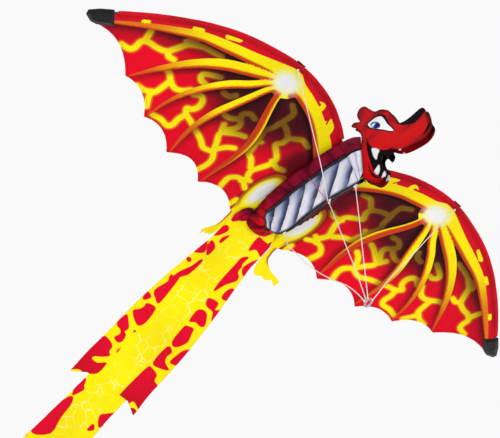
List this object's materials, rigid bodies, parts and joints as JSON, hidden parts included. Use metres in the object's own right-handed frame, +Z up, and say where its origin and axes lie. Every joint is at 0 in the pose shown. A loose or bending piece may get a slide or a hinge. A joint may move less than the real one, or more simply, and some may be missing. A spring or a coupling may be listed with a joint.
{
  "type": "dragon kite",
  "caption": "Flat dragon kite with folding scalloped wings, a three-sided keel body, a turning profile head, a jointed barbed tail and a bridle tied to a tow ring.",
  "frame": {"origin": "centre of the tow ring's bore, where the flying line is tied", "axes": "+Y forward along the body to the head, +Z up through the kite's back, +X out along the dragon's right wing"},
  "size_m": [1.02, 1.8527, 0.5492],
  "materials": {
    "sail_print": "printed ripstop nylon, red with a yellow and orange wing pattern",
    "tail_print": "printed ripstop nylon, yellow band with crackled red edges",
    "keel_cloth": "maroon polyester taffeta",
    "belly_cloth": "white polyester with printed blue-grey pleats",
    "piping": "black piping and binding",
    "edge_cloth": "red sleeve cloth",
    "cap_cloth": "black reinforcing cloth",
    "foot_cloth": "yellow ripstop nylon",
    "patch_cloth": "pale reinforcement cloth",
    "head_print": "printed stiff foil, red",
    "tab_cloth": "white woven tape",
    "rod": "black glass-fibre rod",
    "fitting": "black moulded vinyl",
    "steel": "plated steel",
    "line": "white braided polyester line",
    "tie": "thin red cord"
  },
  "bodies": {
    "airframe": {"spine_rod": "rod", "spine_cap_front": "fitting", "spine_cap_rear": "fitting", "middle_panel": "sail_print", "hub_bar": "fitting", "hub_pins": "steel", "right_keel_side": "keel_cloth", "left_keel_side": "keel_cloth", "right_belly": "belly_cloth", "left_belly": "belly_cloth", "right_piping": "piping", "left_piping": "piping", "ridge_tape": "piping", "right_neck": "keel_cloth", "left_neck": "keel_cloth", "head_post": "steel", "neck_fitting": "fitting", "front_tab": "tab_cloth", "middle_tab": "tab_cloth", "rear_tab": "tab_cloth", "tow_ring": "steel", "right_leg_line": "line", "left_leg_line": "line", "front_leg_line": "line", "middle_leg_line": "line", "rear_leg_line": "line", "tie_line": "tie"},
    "right_wing": {"right_sail": "sail_print", "right_edge_sleeve": "edge_cloth", "right_edge_rod": "rod", "right_tip_cap": "cap_cloth", "right_connector": "fitting", "right_spreader": "rod", "right_hub_arm": "fitting", "right_foot": "foot_cloth", "right_patch": "patch_cloth"},
    "left_wing": {"left_sail": "sail_print", "left_edge_sleeve": "edge_cloth", "left_edge_rod": "rod", "left_tip_cap": "cap_cloth", "left_connector": "fitting", "left_spreader": "rod", "left_hub_arm": "fitting", "left_foot": "foot_cloth", "left_patch": "patch_cloth"},
    "head": {"right_head_panel": "head_print", "left_head_panel": "head_print", "head_sleeve": "head_print", "snout_spacer": "head_print"},
    "tail_1_panel": {"tail_1": "tail_print"},
    "tail_2_panel": {"tail_2": "tail_print"},
    "tail_3_panel": {"tail_3": "tail_print"},
    "tail_4_panel": {"tail_4": "tail_print"}
  },
  "joints": [
    {"name": "right_wing_fold", "type": "hinge", "parent": "airframe", "child": "right_wing", "pos_m": [0.042, -0.05876, 0.41904], "axis": [0, -0.9915, 0.1298], "range_deg": [0, 75]},
    {"name": "left_wing_fold", "type": "hinge", "parent": "airframe", "child": "left_wing", "pos_m": [-0.042, -0.05876, 0.41904], "axis": [0, 0.9915, -0.1298], "range_deg": [0, 75]},
    {"name": "head_turn", "type": "hinge", "parent": "airframe", "child": "head", "pos_m": [0, 0.011, 0.405], "axis": [0, 0, 1], "range_deg": [-22, 22]},
    {"name": "tail_1_curl", "type": "hinge", "parent": "airframe", "child": "tail_1_panel", "pos_m": [0, -0.2653, 0.441], "axis": [-1, 0, 0], "range_deg": [0, 35]},
    {"name": "tail_2_curl", "type": "hinge", "parent": "tail_1_panel", "child": "tail_2_panel", "pos_m": [0, -0.6454, 0.31012], "axis": [-1, 0, 0], "range_deg": [0, 30]},
    {"name": "tail_3_curl", "type": "hinge", "parent": "tail_2_panel", "child": "tail_3_panel", "pos_m": [0, -1.01071, 0.19844], "axis": [-1, 0, 0], "range_deg": [0, 30]},
    {"name": "tail_4_curl", "type": "hinge", "parent": "tail_3_panel", "child": "tail_4_panel", "pos_m": [0, -1.36037, 0.10474], "axis": [-1, 0, 0], "range_deg": [0, 30]}
  ]
}
